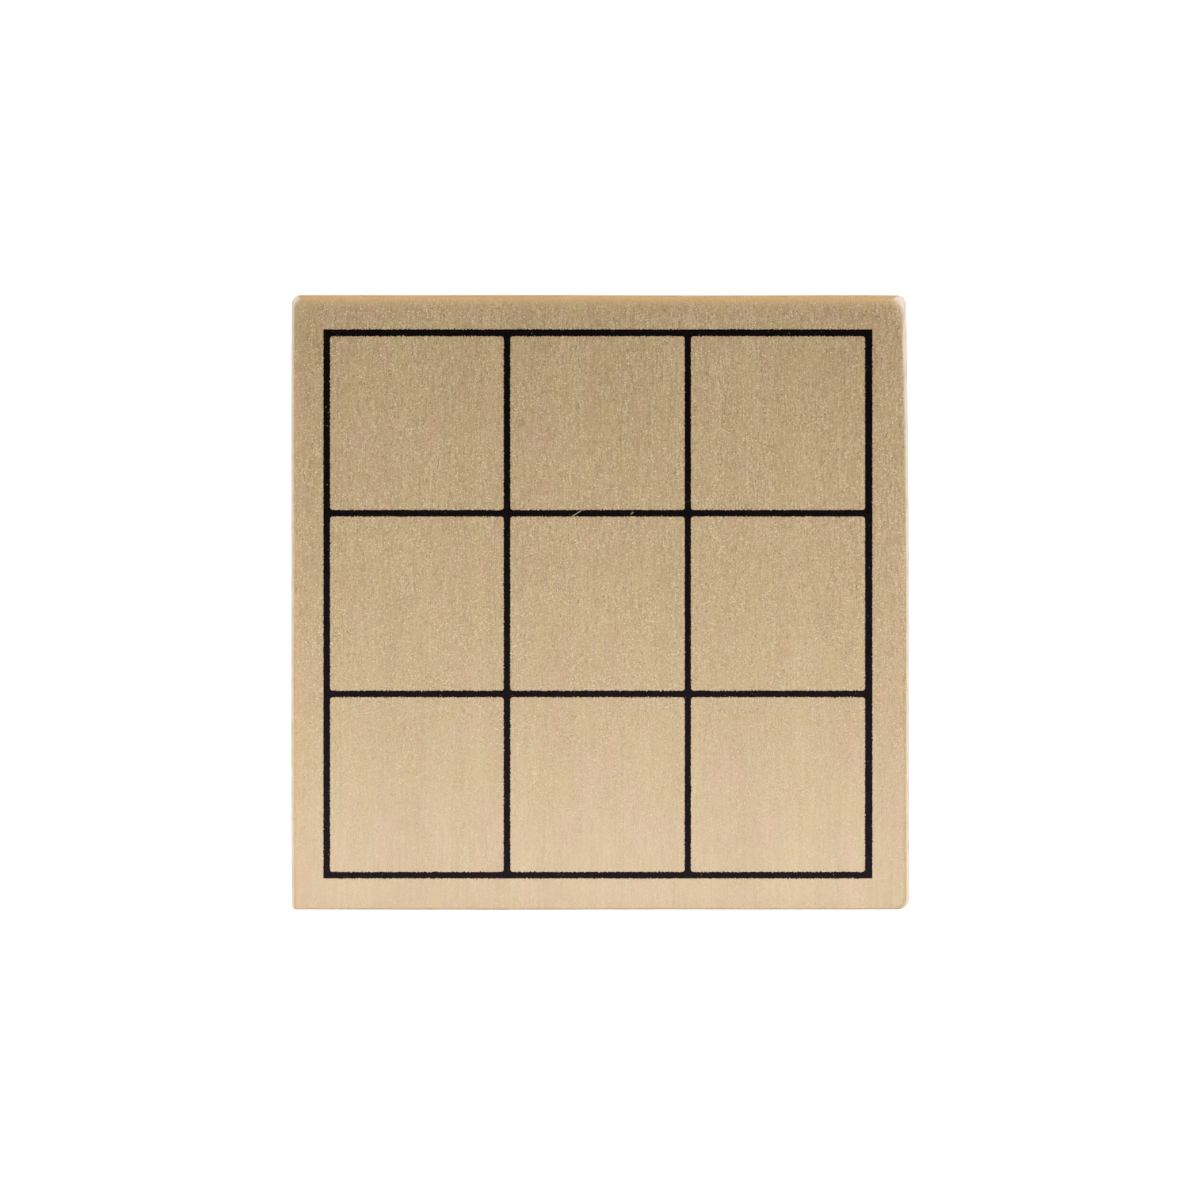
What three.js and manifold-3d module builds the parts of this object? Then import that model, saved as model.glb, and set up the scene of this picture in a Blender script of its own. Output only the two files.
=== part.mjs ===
// A wooden tic-tac-toe box: a finger-jointed tray, a lift-off lid whose top is the printed
// playing board, and nine loose playing pieces, five crosses and four rings.
// Lengths are in millimetres. +Z is up, and the origin is at the middle of the underside.
// The lid's top faces up, and its grain runs along Y.

import * as THREE from 'three';
import { mergeVertices } from 'three/addons/utils/BufferGeometryUtils.js';
import Module from 'manifold-3d';

const wasm = await Module();
wasm.setup();

// Driving dimensions of the lid's playing board.
const boardSide = 100;
const boardThickness = 6;
const boardCornerRadius = 1.6;
const boardTopEase = 0.9;
const boardUnderEase = 0.4;

// The printed grid of three by three squares: ink that has soaked into the wood.
const squaresAcross = 3;
const gridMargin = 5.5; // from the board's edge to the outside of the outer line
const lineWidth = 1;
const inkDepth = 0.2;
const gridShiftX = -0.4; // the print sits a little off the board's middle
const gridShiftY = -0.2;

// The panel glued under the board, which drops inside the walls and keeps the lid in place.
const linerThickness = 3;
const linerClearance = 0.4; // to each wall
const linerCornerRadius = 1.2;
const linerEase = 0.8;

// The tray's walls and their finger joints.
const lidOverhang = 0.4; // how far the board stands out past each wall
const wallHeight = 24;
const wallThickness = 6;
const wallCornerRadius = 1.5;
const wallEase = 0.4;
const fingerCount = 5;
const glueGap = 0.1; // between two fingers, and from a finger's end to its notch

// The tray's base panel, let into a rebate along the walls' lower inner edges.
const baseThickness = 3;
const rebateWidth = 3;
const baseClearance = 0.1;

// The playing pieces. Crosses and rings are as wide as each other and drawn with one stroke.
const pieceMargin = 3.2; // from a piece to the lines round its square on the board
const pieceThickness = 8;
const strokeWidth = 6;
const pieceEase = 0.8;
const crossFilletRadius = 0.8;

// A cutting solid runs this far past the face that it opens.
const overrun = 1;

// How finely curves are stepped.
const cornerSteps = 6;
const easeSteps = 3;
const pieceEaseSteps = 2;
const armEndSteps = 10;
const filletSteps = 3;
const ringSteps = 40;
const quarterTurn = Math.PI / 2;

// What follows from those sizes.
const bodyHalf = boardSide / 2 - lidOverhang;
const innerHalf = bodyHalf - wallThickness;
const baseHalf = innerHalf + rebateWidth;
const fingerHeight = wallHeight / fingerCount;
const boardTop = wallHeight + boardThickness;
const linePitch = (boardSide - 2 * gridMargin - lineWidth) / squaresAcross;
const gridHalf = (squaresAcross * linePitch) / 2; // to the middle of an outer line
const pieceSize = linePitch - lineWidth - 2 * pieceMargin;
const slotPitch = (2 * innerHalf) / squaresAcross; // the tray's floor is shared out alike

// Where the loose pieces lie: the column and row of the slot, the piece's shift in it as shares
// of the slot's pitch, and its turn in degrees.
const crossPlaces = [
  { slot: [-1, 1], shiftShares: [0.05, -0.03], turn: 6 },
  { slot: [1, 1], shiftShares: [-0.03, 0.04], turn: -11 },
  { slot: [0, 0], shiftShares: [0.03, 0.04], turn: 9 },
  { slot: [-1, -1], shiftShares: [-0.03, 0.05], turn: -4 },
  { slot: [1, -1], shiftShares: [-0.05, -0.02], turn: 13 },
];
const ringPlaces = [
  { slot: [0, 1], shiftShares: [-0.04, 0.06], turn: 20 },
  { slot: [-1, 0], shiftShares: [-0.06, -0.02], turn: 70 },
  { slot: [1, 0], shiftShares: [0.07, -0.04], turn: 35 },
  { slot: [0, -1], shiftShares: [0.02, -0.07], turn: 110 },
];

// The finishes, in the colours that the bare wood and the ink have in plain light.
const basswood = new THREE.MeshStandardMaterial({ color: 0xd3b78e, roughness: 0.75, metalness: 0 });
const plywood = new THREE.MeshStandardMaterial({ color: 0xddc49c, roughness: 0.8, metalness: 0 });
const ink = new THREE.MeshStandardMaterial({ color: 0x161314, roughness: 0.6, metalness: 0 });

// Solids that can be joined and cut.

// A closed geometry as a solid.
function solidFrom(geometry) {
  const bare = geometry.clone();
  bare.deleteAttribute('normal');
  bare.deleteAttribute('uv');
  const merged = mergeVertices(bare);
  const triVerts = new Uint32Array(merged.index.array);
  const vertProperties = merged.attributes.position.array;
  return new wasm.Manifold(new wasm.Mesh({ numProp: 3, vertProperties, triVerts }));
}

// A solid as a flat-shaded geometry.
function geometryFrom(solid) {
  const { vertProperties, triVerts } = solid.getMesh();
  const geometry = new THREE.BufferGeometry()
    .setAttribute('position', new THREE.BufferAttribute(vertProperties, 3))
    .setIndex(new THREE.BufferAttribute(triVerts, 1))
    .toNonIndexed();
  geometry.computeVertexNormals();
  return geometry;
}

// Basic shapes.

// A block from its lowest to its highest corner: a unit box whose corners are moved there.
function blockGeometry(low, high) {
  const geometry = new THREE.BoxGeometry(1, 1, 1);
  const corners = geometry.attributes.position;
  for (let i = 0; i < corners.count; i++)
    for (let axis = 0; axis < 3; axis++) {
      const end = corners.getComponent(i, axis) < 0 ? low : high;
      corners.setComponent(i, axis, end[axis]);
    }
  return geometry;
}

const block = (low, high) => solidFrom(blockGeometry(low, high));

// Points on an arc, both ends included.
function arc(centre, radius, from, to, steps) {
  return Array.from({ length: steps + 1 }, (_, step) => {
    const angle = from + (step / steps) * (to - from);
    const x = centre[0] + radius * Math.cos(angle);
    const y = centre[1] + radius * Math.sin(angle);
    return new THREE.Vector2(x, y);
  });
}

// The outline of a square with rounded corners, anticlockwise seen from above.
function roundedSquare(half, radius) {
  const reach = half - radius;
  const corners = [
    [reach, reach],
    [-reach, reach],
    [-reach, -reach],
    [reach, -reach],
  ];
  return corners.flatMap((centre, i) =>
    arc(centre, radius, i * quarterTurn, (i + 1) * quarterTurn, cornerSteps),
  );
}

// A closed surface through outlines of as many points each, from the lowest to the highest, with
// a flat cap on both ends.
function loft(layers) {
  const count = layers[0].outline.length;
  const rings = layers.map(({ outline, height }) =>
    outline.map(({ x, y }) => new THREE.Vector3(x, y, height)),
  );
  const lowCap = new THREE.Vector3(0, 0, layers[0].height);
  const highCap = new THREE.Vector3(0, 0, layers.at(-1).height);
  const points = [...rings.flat(), lowCap, highCap];
  const [lowMiddle, highMiddle] = [points.length - 2, points.length - 1];
  const lastRing = (rings.length - 1) * count;
  const faces = [];
  for (let i = 0; i < count; i++) {
    const next = (i + 1) % count;
    for (let ring = 0; ring < lastRing; ring += count) {
      const above = ring + count;
      faces.push(ring + i, ring + next, above + next, ring + i, above + next, above + i);
    }
    faces.push(lowMiddle, next, i, highMiddle, lastRing + i, lastRing + next);
  }
  const geometry = new THREE.BufferGeometry().setFromPoints(points).setIndex(faces);
  geometry.computeVertexNormals();
  return geometry;
}

// A slab with rounded corners, whose lower and upper edges are eased by a quarter round.
function slab({ half, cornerRadius, low, high, lowEase = 0, highEase = 0 }) {
  const easedLayers = (ease, endHeight, inwards) => {
    const steps = ease > 0 ? easeSteps : 0;
    return Array.from({ length: steps + 1 }, (_, step) => {
      const angle = steps ? (step / steps) * quarterTurn : quarterTurn;
      const inset = ease * (1 - Math.sin(angle));
      const height = endHeight + inwards * ease * (1 - Math.cos(angle));
      return { outline: roundedSquare(half - inset, cornerRadius - inset), height };
    });
  };
  return loft([...easedLayers(lowEase, low, 1), ...easedLayers(highEase, high, -1).reverse()]);
}

// The tray.

const basePanelGeometry = blockGeometry(
  [-baseHalf, -baseHalf, 0],
  [baseHalf, baseHalf, baseThickness],
);

// The outside that the glued-up walls are sanded to.
const sandedOutside = solidFrom(
  slab({
    half: bodyHalf,
    cornerRadius: wallCornerRadius,
    low: 0,
    high: wallHeight,
    lowEase: wallEase,
    highEase: wallEase,
  }),
);

const rebateHalf = baseHalf + baseClearance;
const rebate = block(
  [-rebateHalf, -rebateHalf, -overrun],
  [rebateHalf, rebateHalf, baseThickness],
);

// The notch of one finger's height at both ends of a wall along X, cut clean through.
function endNotches(finger) {
  const low = finger === 0 ? -overrun : finger * fingerHeight - glueGap / 2;
  const top = finger === fingerCount - 1 ? wallHeight + overrun : (finger + 1) * fingerHeight;
  const high = top + glueGap / 2;
  const root = innerHalf - glueGap;
  const end = bodyHalf + overrun;
  const right = block([root, -end, low], [end, end, high]);
  const left = block([-end, -end, low], [-root, end, high]);
  return right.add(left);
}

// The wall along the front of the tray, turned to its own side. Every second finger, counted up
// from the base, is its own, and the rest are notches for the walls that it meets.
function wallGeometry(quarterTurns, firstNotch) {
  let wall = block([-bodyHalf, -bodyHalf, 0], [bodyHalf, -innerHalf, wallHeight]);
  for (let finger = firstNotch; finger < fingerCount; finger += 2)
    wall = wall.subtract(endNotches(finger));
  const shaped = wall.intersect(sandedOutside).subtract(rebate);
  return geometryFrom(shaped).rotateZ(quarterTurns * quarterTurn);
}

// The lid.

// Where the grid's lines that run one way start and end across their width.
function lineSpans(shift) {
  return Array.from({ length: squaresAcross + 1 }, (_, i) => {
    const middle = shift + i * linePitch - gridHalf;
    return [middle - lineWidth / 2, middle + lineWidth / 2];
  });
}

// The grid between two heights: a plate with the squares cut through it.
function gridSolid(low, high) {
  const spansX = lineSpans(gridShiftX);
  const spansY = lineSpans(gridShiftY);
  const nearCorner = [spansX.at(0)[0], spansY.at(0)[0], low];
  const farCorner = [spansX.at(-1)[1], spansY.at(-1)[1], high];
  let grid = block(nearCorner, farCorner);
  for (let column = 0; column < squaresAcross; column++)
    for (let row = 0; row < squaresAcross; row++) {
      const squareLow = [spansX[column][1], spansY[row][1], low - overrun];
      const squareHigh = [spansX[column + 1][0], spansY[row + 1][0], high + overrun];
      grid = grid.subtract(block(squareLow, squareHigh));
    }
  return grid;
}

const printedGridGeometry = geometryFrom(gridSolid(boardTop - inkDepth, boardTop));

// The board, with the bed that the ink fills.
function boardGeometry() {
  const blank = slab({
    half: boardSide / 2,
    cornerRadius: boardCornerRadius,
    low: wallHeight,
    high: boardTop,
    lowEase: boardUnderEase,
    highEase: boardTopEase,
  });
  const inkBed = gridSolid(boardTop - inkDepth, boardTop + overrun);
  return geometryFrom(solidFrom(blank).subtract(inkBed));
}

const linerGeometry = slab({
  half: innerHalf - linerClearance,
  cornerRadius: linerCornerRadius,
  low: wallHeight - linerThickness,
  high: wallHeight,
  lowEase: linerEase,
});

// The playing pieces, each about its own middle with its underside at height zero.

// A cross of two strokes with round ends and a small fillet in each of its four angles.
function crossGeometry() {
  const strokeHalf = strokeWidth / 2;
  const endReach = Math.SQRT2 * (pieceSize / 2 - strokeHalf);
  const filletReach = Math.SQRT2 * (strokeHalf + crossFilletRadius);
  const at = (reach, angle) => [reach * Math.cos(angle), reach * Math.sin(angle)];
  const outline = [];
  for (let arm = 0; arm < 4; arm++) {
    const along = (arm + 0.5) * quarterTurn;
    const between = (arm + 1) * quarterTurn;
    const armEnd = at(endReach, along);
    const filletCentre = at(filletReach, between);
    const filletStart = along - quarterTurn;
    outline.push(
      ...arc(armEnd, strokeHalf, along - quarterTurn, along + quarterTurn, armEndSteps),
      ...arc(filletCentre, crossFilletRadius, filletStart, filletStart - quarterTurn, filletSteps),
    );
  }
  return new THREE.ExtrudeGeometry(new THREE.Shape(outline), {
    depth: pieceThickness - 2 * pieceEase,
    bevelThickness: pieceEase,
    bevelSize: pieceEase,
    bevelOffset: -pieceEase,
    bevelSegments: pieceEaseSteps,
  }).translate(0, 0, pieceEase);
}

// A ring whose section is one stroke wide, with its four edges eased.
function ringGeometry() {
  const outer = pieceSize / 2 - pieceEase;
  const inner = pieceSize / 2 - strokeWidth + pieceEase;
  const [low, high] = [pieceEase, pieceThickness - pieceEase];
  const cornerCentres = [
    [outer, high],
    [inner, high],
    [inner, low],
    [outer, low],
  ];
  const section = cornerCentres.flatMap((centre, i) =>
    arc(centre, pieceEase, i * quarterTurn, (i + 1) * quarterTurn, pieceEaseSteps),
  );
  section.push(section[0].clone());
  return new THREE.LatheGeometry(section, ringSteps).rotateX(quarterTurn);
}

// The assembly.

const box = new THREE.Group();

function add(parent, name, geometry, material) {
  const mesh = new THREE.Mesh(geometry, material);
  mesh.name = name;
  parent.add(mesh);
  return mesh;
}

const tray = new THREE.Group();
add(tray, 'base_panel', basePanelGeometry, plywood);
add(tray, 'front_wall', wallGeometry(0, 1), basswood);
add(tray, 'right_wall', wallGeometry(1, 0), basswood);
add(tray, 'back_wall', wallGeometry(2, 1), basswood);
add(tray, 'left_wall', wallGeometry(3, 0), basswood);

const lid = new THREE.Group();
add(lid, 'lid_board', boardGeometry(), basswood);
add(lid, 'lid_liner', linerGeometry, plywood);
add(lid, 'printed_grid', printedGridGeometry, ink);

box.add(tray, lid);

// Lays a loose piece on the base panel in its slot.
function layPiece(name, geometry, { slot, shiftShares, turn }) {
  const piece = add(box, name, geometry, basswood);
  const [x, y] = [0, 1].map((axis) => (slot[axis] + shiftShares[axis]) * slotPitch);
  piece.position.set(x, y, baseThickness);
  piece.rotation.z = THREE.MathUtils.degToRad(turn);
}

const cross = crossGeometry();
const ring = ringGeometry();
crossPlaces.forEach((place, i) => layPiece(`cross_${i + 1}`, cross, place));
ringPlaces.forEach((place, i) => layPiece(`ring_${i + 1}`, ring, place));

export default box;
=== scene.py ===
# %% [markdown]
# A bare wooden game box, seen from straight above. The lid's top is the playing board, with its
# grid printed in black. The tray's walls show from the side, and the liner under the lid and the
# loose crosses and rings once the lid is lifted. The frame holds every part at its real size; the
# finishes and the fine edges are made here. Lengths are in metres, and MM is a millimetre.

# %% Load the frame
import math

import bmesh
import bpy
import numpy as np
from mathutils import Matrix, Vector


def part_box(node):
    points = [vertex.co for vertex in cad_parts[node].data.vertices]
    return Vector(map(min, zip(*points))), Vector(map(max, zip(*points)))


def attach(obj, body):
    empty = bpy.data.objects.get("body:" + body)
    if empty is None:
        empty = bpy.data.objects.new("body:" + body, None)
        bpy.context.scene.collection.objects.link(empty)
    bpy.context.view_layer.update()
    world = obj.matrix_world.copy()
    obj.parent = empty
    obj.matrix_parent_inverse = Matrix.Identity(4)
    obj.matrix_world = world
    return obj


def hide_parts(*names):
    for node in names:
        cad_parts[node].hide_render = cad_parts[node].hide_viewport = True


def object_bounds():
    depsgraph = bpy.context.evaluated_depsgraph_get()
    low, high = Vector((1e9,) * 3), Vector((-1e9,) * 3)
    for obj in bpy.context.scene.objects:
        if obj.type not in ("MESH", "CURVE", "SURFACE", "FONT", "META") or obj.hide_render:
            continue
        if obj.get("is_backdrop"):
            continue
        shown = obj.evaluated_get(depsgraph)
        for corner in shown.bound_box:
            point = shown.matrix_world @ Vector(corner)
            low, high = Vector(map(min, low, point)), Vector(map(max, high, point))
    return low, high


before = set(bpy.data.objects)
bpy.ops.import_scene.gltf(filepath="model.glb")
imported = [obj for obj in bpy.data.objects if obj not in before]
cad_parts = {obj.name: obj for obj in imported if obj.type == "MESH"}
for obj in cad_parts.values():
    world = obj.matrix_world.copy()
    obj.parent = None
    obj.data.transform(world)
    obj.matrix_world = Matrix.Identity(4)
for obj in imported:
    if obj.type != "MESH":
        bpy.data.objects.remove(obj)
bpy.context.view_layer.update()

MM = 0.001
scene = bpy.context.scene
scene.view_settings.view_transform = "Standard"

# %% [markdown]
# Sizes that several cells need are read from the frame's own boxes, so nothing has to be fitted
# by eye. A box is the lowest and the highest corner of one node.

# %% Read the boxes of the main parts
def box_of(node):
    """The lowest and the highest corner of a CAD node, as arrays."""
    return [np.array(corner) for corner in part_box(node)]


board_low, board_high = box_of("lid_board")
grid_low, grid_high = box_of("printed_grid")
BOARD_TOP = board_high[2]
print("board", np.round((board_high - board_low) / MM, 2), "mm")

# %% [markdown]
# The photograph looks straight down and its parallel edges stay parallel, so the camera is far
# off and has a long lens. Its distance follows from the board's width in the picture.

# %% Camera
IMAGE_WIDTH_PX = 1200
BOARD_WIDTH_PX = 616
CAMERA_SHIFT_Y = 0.32 * MM  # the board sits two pixels below the picture's middle
LENS_MM = 135
SENSOR_MM = 36
CLIP_START = 0.01

view_width = IMAGE_WIDTH_PX / BOARD_WIDTH_PX * (board_high[0] - board_low[0])
camera_data = bpy.data.cameras.new("camera")
camera_data.lens = LENS_MM
camera_data.sensor_width = SENSOR_MM
camera_data.clip_start = CLIP_START
camera = bpy.data.objects.new("camera", camera_data)
camera.location = (0, CAMERA_SHIFT_Y, BOARD_TOP + view_width * LENS_MM / SENSOR_MM)
scene.collection.objects.link(camera)
scene.camera = camera
print("camera height", round(camera.location.z, 4), "m")

# %% [markdown]
# A finish is a tree of small nodes. Written as Python expressions it stays short: this class wraps
# the output of a node and overloads the operators, so that 1 - mask adds a Math node.

# %% Sums and products of sockets
class Value:
    """The output of a node, which can be used in sums and products with others and with numbers."""

    def __init__(self, finish, socket):
        self.finish = finish
        self.socket = socket

    def other(self, output):
        """Another output of the same node."""
        return Value(self.finish, self.socket.node.outputs[output])

    def math(self, operation, *values):
        """A Math node that works on these values."""
        return self.finish.node("Math", {"operation": operation}, dict(enumerate(values)))

    def __add__(self, other):
        return self.math("ADD", self, other)

    def __sub__(self, other):
        return self.math("SUBTRACT", self, other)

    def __rsub__(self, other):
        return self.math("SUBTRACT", other, self)

    def __mul__(self, other):
        return self.math("MULTIPLY", self, other)

    def __pow__(self, other):
        return self.math("POWER", self, other)

    def __abs__(self):
        return self.math("ABSOLUTE", self)

    __radd__ = __add__
    __rmul__ = __mul__

# %% [markdown]
# A second class holds the tree of one material or world. A single method adds any node to it, and
# a few short ones name what the finishes of this box need again and again: a mix of two colours,
# a smooth step, and stretched noise or dots.

# %% The tree of a finish
DOT_CORE = 0.25
DOT_RIM = 0.5


class Finish:
    """The node tree of a material or a world."""

    def __init__(self, owner):
        owner.use_nodes = True
        self.owner = owner
        self.tree = owner.node_tree
        self.tree.nodes.clear()

    def node(self, kind, settings=None, inputs=None, output=0):
        """Adds a node: first its settings, then what its sockets are given. Returns an output."""
        node = self.tree.nodes.new("ShaderNode" + kind)
        for name, setting in (settings or {}).items():
            setattr(node, name, setting)
        for key, given in (inputs or {}).items():
            if isinstance(given, Value):
                self.tree.links.new(given.socket, node.inputs[key])
            else:
                node.inputs[key].default_value = given
        return Value(self, node.outputs[output]) if node.outputs else None

    def mix(self, share, first, second):
        """A colour between two, by a share from 0 to 1. A Mix node takes its colours at 6 and 7."""
        return self.node("Mix", {"data_type": "RGBA"}, {0: share, 6: first, 7: second}, 2)

    def step(self, value, low, high):
        """A smooth step from 0 at low to 1 at high."""
        settings = {"interpolation_type": "SMOOTHSTEP"}
        return self.node("MapRange", settings, {"Value": value, "From Min": low, "From Max": high})

    def normal(self):
        """The direction in which the surface looks, in the piece's own axes."""
        return self.node("TexCoord", None, None, "Normal")

    def stretched(self, place, grain):
        """The place divided by a grain's lengths along X, Y and Z."""
        return self.node("VectorMath", {"operation": "DIVIDE"}, {0: place, 1: grain})

    def noise(self, place, grain, detail=2.0):
        """Noise from 0 to 1 around 0.5, with grains of these lengths."""
        inputs = {"Vector": self.stretched(place, grain), "Scale": 1.0, "Detail": detail}
        return self.node("TexNoise", {"noise_dimensions": "3D"}, inputs)

    def dots(self, place, grain, share):
        """Soft dots from 0 to 1, scattered over a share of the cells of a Voronoi pattern."""
        inputs = {"Vector": self.stretched(place, grain), "Scale": 1.0}
        distance = self.node("TexVoronoi", {"voronoi_dimensions": "3D"}, inputs, "Distance")
        chance = self.node("SeparateXYZ", None, {"Vector": distance.other("Color")}, "X")
        return (1 - self.step(distance, DOT_CORE, DOT_RIM)) * self.step(chance, 1 - share, 1.0)

# %% [markdown]
# A socket takes linear light, but a colour is easier to judge and to compare as the eye reads it
# on a screen, so the colours below are written that way and turned here.

# %% Colours
def colour(red, green, blue):
    """A colour given as the eye reads it, 0 to 255, turned into linear light for a socket.

    A share s of 255 is the light ((s + 0.055) / 1.055) ^ 2.4, and s / 12.92 where it is very dark.
    """
    shares = np.array([red, green, blue]) / 255
    linear = np.where(shares <= 0.04045, shares / 12.92, ((shares + 0.055) / 1.055) ** 2.4)
    return (*linear.tolist(), 1.0)

# %% [markdown]
# The set is made of bare basswood, a pale and very even wood. All of its figure is longest along
# the grain, so one solid pattern of stretched noise gives the face and the long sides at once, as
# in a real block. The pattern needs to know where it is in the piece and how the grain runs.

# %% Place and direction in the wood
END_GRAIN_STEP = (0.3, 0.9)


def grain_place(finish, centre, turn):
    """Object coordinates in millimetres about a centre, turned so that the grain runs along Y."""
    object_place = finish.node("TexCoord", None, None, "Object")
    inputs = {"Vector": object_place, "Location": tuple(centre), "Rotation": (0, 0, turn)}
    inputs["Scale"] = (MM, MM, MM)
    return finish.node("Mapping", {"vector_type": "TEXTURE"}, inputs)


def end_grain_share(finish, turn):
    """1 where the surface looks along the grain, 0 on the faces beside it."""
    inputs = {0: finish.normal(), 1: (-math.sin(turn), math.cos(turn), 0)}
    facing = finish.node("VectorMath", {"operation": "DOT_PRODUCT"}, inputs, "Value")
    return finish.step(abs(facing), *END_GRAIN_STEP)

# %% [markdown]
# Up close the sanded wood has fibre lines a fifth of a millimetre wide, grit and crumbs of raised
# wood. How high they stand is called the nap, and the sander leaves more of it in some patches
# than in others. Grains are lengths in millimetres across, along and again across the fibres.

# %% Fine relief
FIBRE_GRAIN = (0.22, 1.8, 0.22)
GRIT_GRAIN = (0.18, 0.19, 0.18)
CRUMB_GRAIN = (0.22, 0.24, 0.22)
CRUMB_SHARE = 0.35
FIBRE_STEP = (0.38, 0.62)
PATCH_GRAIN = (3.0, 9.0, 3.0)
PATCH_STEP = (0.35, 0.65)
NAP_BETWEEN_PATCHES = 0.8
NAP_ADDED_IN_PATCHES = 0.4


def fine_relief(finish, place, nap):
    """Fibre lines, grit and raised crumbs, as high as the nap that the sander left in patches."""
    patches = finish.step(finish.noise(place, PATCH_GRAIN, 1.0), *PATCH_STEP)
    left = nap * (NAP_BETWEEN_PATCHES + NAP_ADDED_IN_PATCHES * patches)
    fibres = (finish.step(finish.noise(place, FIBRE_GRAIN, 1.0), *FIBRE_STEP) - 0.5) * left
    grit = (finish.noise(place, GRIT_GRAIN, 1.0) - 0.5) * left
    return fibres, grit, finish.dots(place, CRUMB_GRAIN, CRUMB_SHARE) * left

# %% [markdown]
# Along the grain the wood has faint broad bands, streaks and clouds, its hue drifts a little
# between yellow and pink, raised crumbs get a painted glint and tiny pores stay dark. The tone is
# one sum of noises, each weighted by how much it shows, and it runs from a deep through a middle
# to a light colour.

# %% Wood along the grain
WOOD_LIGHT = colour(220, 194, 151)
WOOD_MIDDLE = colour(194, 164, 120)
WOOD_DEEP = colour(173, 142, 98)
WOOD_YELLOW = colour(198, 176, 118)
WOOD_PINK = colour(206, 163, 132)
# Crumbs are painted in this pale colour as glints of light.
CRUMB_GLINT = colour(250, 236, 206)
PORE = colour(146, 114, 78)
BAND_GRAIN = (6.0, 130.0, 6.0)
STREAK_GRAIN = (0.45, 9.0, 0.45)
CLOUD_GRAIN = (2.0, 8.0, 2.0)
HUE_GRAIN = (2.8, 8.0, 2.8)
PORE_GRAIN = (0.32, 0.6, 0.32)
BAND_TONE = 0.8
STREAK_TONE = 0.8
CLOUD_TONE = 0.3
FIBRE_TONE = 0.65
GRIT_TONE = 4.2
HUE_STEP = (0.5, 0.72)
HUE_DRIFT = 0.3
PORE_SHARE = 0.3
PORE_DARKNESS = 0.7


def face_grain(finish, place, relief, nap):
    """Basswood along the grain: a tone from deep to light, a drift of hue, crumbs with a painted
    glint, and pores.

    The pores show as much as the nap does, because dust from sanding settles in them.
    """
    fibres, grit, crumbs = relief
    bands = finish.noise(place, BAND_GRAIN) - 0.5
    streaks = finish.noise(place, STREAK_GRAIN) - 0.5
    clouds = finish.noise(place, CLOUD_GRAIN) - 0.5
    figure = bands * BAND_TONE + streaks * STREAK_TONE + clouds * CLOUD_TONE
    tone = figure + fibres * FIBRE_TONE + grit * GRIT_TONE
    lightened = finish.mix(tone, WOOD_MIDDLE, WOOD_LIGHT)
    toned = finish.mix(tone * -1, lightened, WOOD_DEEP)
    hue = finish.noise(place, HUE_GRAIN, 1.0)
    yellowed = finish.mix(finish.step(hue, *HUE_STEP) * HUE_DRIFT, toned, WOOD_YELLOW)
    drifted = finish.mix(finish.step(1 - hue, *HUE_STEP) * HUE_DRIFT, yellowed, WOOD_PINK)
    pores = finish.dots(place, PORE_GRAIN, PORE_SHARE) * nap * PORE_DARKNESS
    # Crumbs get a painted glint.
    return finish.mix(crumbs, finish.mix(pores, drifted, PORE), CRUMB_GLINT)

# %% [markdown]
# Where the surface looks along the grain it shows end grain, which is darker and warmer, because
# open fibre ends drink light. The growth rings are wide arcs about a pith that lies outside the
# piece, as in boards sawn from a big log, and each ends in a line of dark late wood.

# %% End grain
WOOD_END = colour(204, 160, 109)
LATE_WOOD = colour(170, 125, 78)
LATE_WOOD_DARKNESS = 0.7
LATE_WOOD_NARROWNESS = 3
END_PORE = colour(146, 106, 66)
END_PORE_GRAIN = (0.3, 2.0, 0.3)
END_PORE_SHARE = 0.6
END_PORE_DARKNESS = 0.6
FROM_PITH_MM = (13.0, 0.0, 70.0)
RING_SCALE = 0.11
RING_WANDER = 1.5


def end_grain(finish, place):
    """Basswood across the grain: growth rings in wide arcs that end in a dark line, and pores."""
    about_pith = finish.node("VectorMath", {"operation": "ADD"}, {0: place, 1: FROM_PITH_MM})
    settings = {"wave_type": "RINGS", "rings_direction": "Y", "wave_profile": "SAW"}
    inputs = {"Vector": about_pith, "Scale": RING_SCALE, "Distortion": RING_WANDER, "Detail": 2.0}
    growth = finish.node("TexWave", settings, inputs)
    late = growth**LATE_WOOD_NARROWNESS * LATE_WOOD_DARKNESS
    ringed = finish.mix(late, WOOD_END, LATE_WOOD)
    pores = finish.dots(place, END_PORE_GRAIN, END_PORE_SHARE) * END_PORE_DARKNESS
    return finish.mix(pores, ringed, END_PORE)

# %% [markdown]
# The colours and the relief come together on a principled surface. A little roughness follows the
# fibres, and a bump of three hundredths of a millimetre breaks up the sheen, as nap does.

# %% A matte surface with fine relief
RELIEF_DEPTH = 0.03 * MM
FIBRE_HEIGHT = 0.3
GRIT_HEIGHT = 1.5
CRUMB_HEIGHT = 0.6
FIBRE_ROUGHNESS = 0.2


def coat_with(finish, base, relief, roughness, specular):
    """Joins a colour and a fine relief to a material's principled surface. Returns the material."""
    fibres, grit, crumbs = relief
    height = fibres * FIBRE_HEIGHT + grit * GRIT_HEIGHT + crumbs * CRUMB_HEIGHT
    bump = finish.node("Bump", None, {"Strength": 1.0, "Distance": RELIEF_DEPTH, "Height": height})
    inputs = {"Base Color": base, "Roughness": fibres * FIBRE_ROUGHNESS + roughness, "Normal": bump}
    inputs["Specular IOR Level"] = specular
    shader = finish.node("BsdfPrincipled", None, inputs)
    finish.node("OutputMaterial", None, {"Surface": shader})
    return finish.owner
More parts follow.
